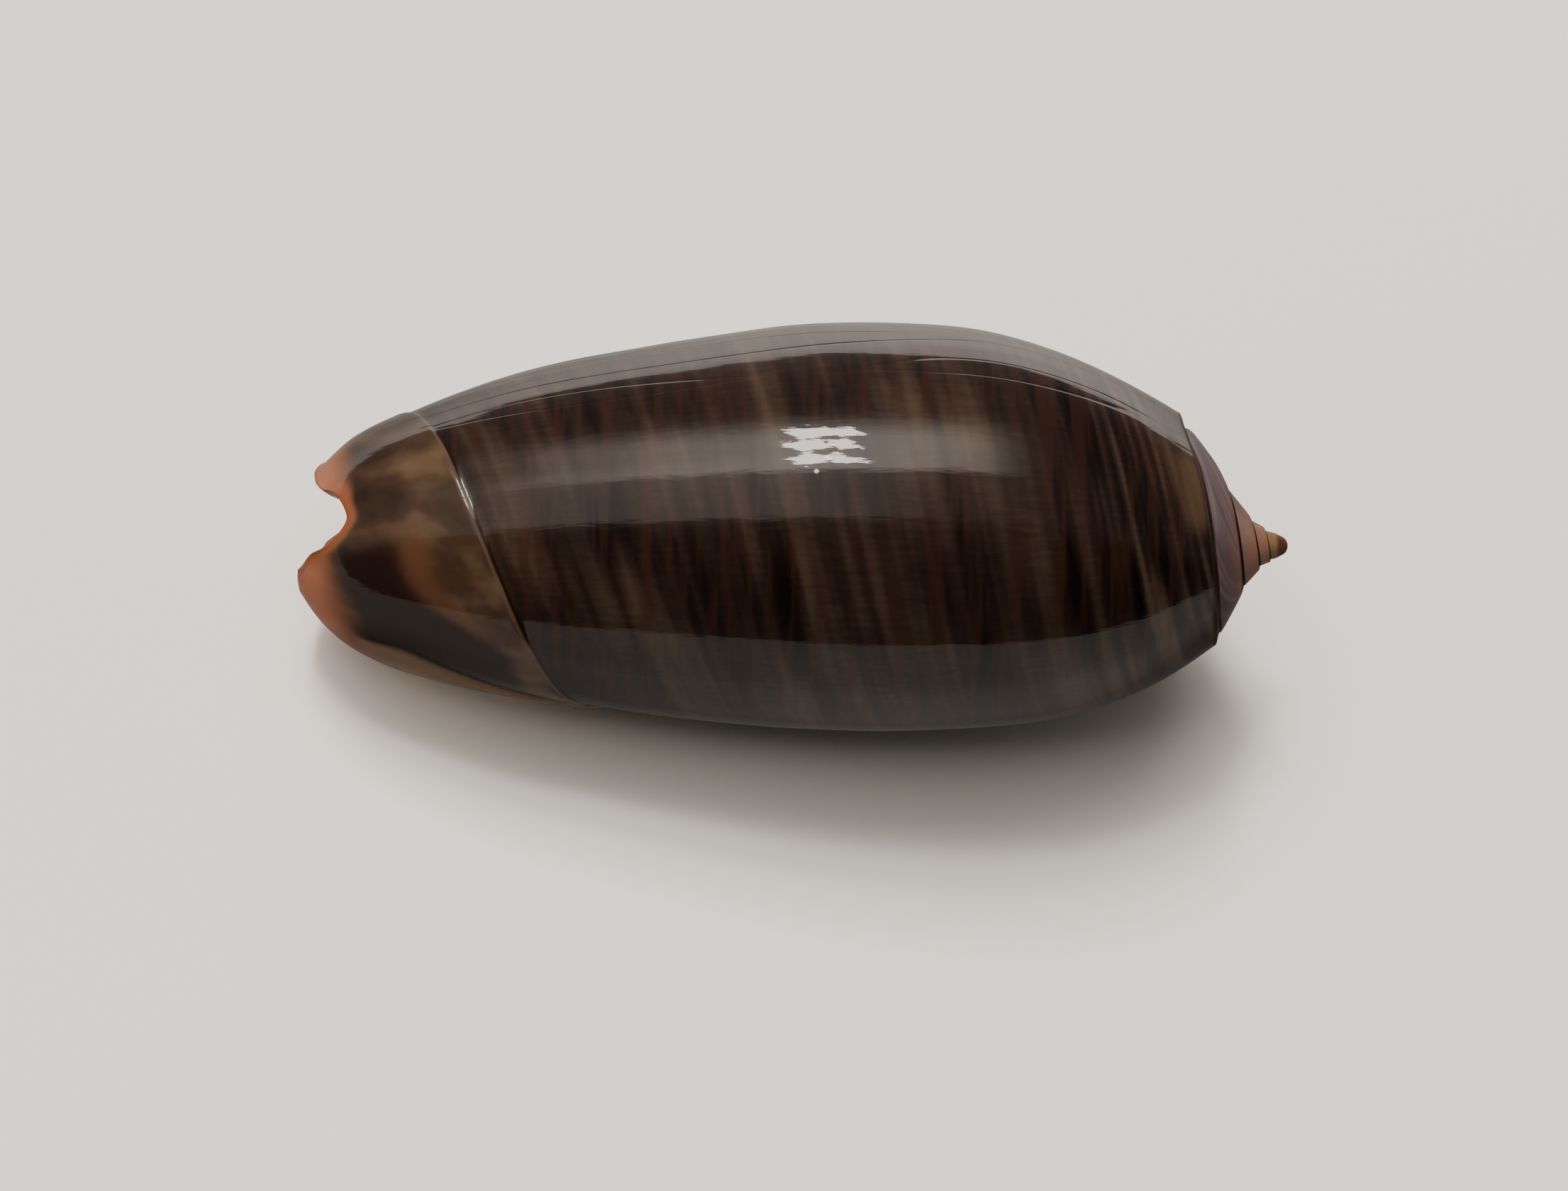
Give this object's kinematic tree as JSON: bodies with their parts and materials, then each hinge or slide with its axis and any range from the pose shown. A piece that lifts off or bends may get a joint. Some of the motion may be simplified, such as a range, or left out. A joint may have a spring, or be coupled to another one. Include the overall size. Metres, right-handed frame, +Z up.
{
  "type": "olive shell",
  "caption": "Glossy dark brown olive shell lying on its aperture, with a long last whorl, a short concave spire, a narrow aperture and a notched end.",
  "frame": {"origin": "centre of the bounding box in plan, at the surface that the shell rests on", "axes": "+X along the shell towards the spire's tip, +Y towards the outer lip's side, +Z up from the aperture to the back of the shell"},
  "size_m": [0.0696, 0.0296, 0.0274],
  "materials": {
    "shell": "naturally polished, porcelain-like"
  },
  "bodies": {
    "root": {"shell": "shell"}
  },
  "joints": []
}
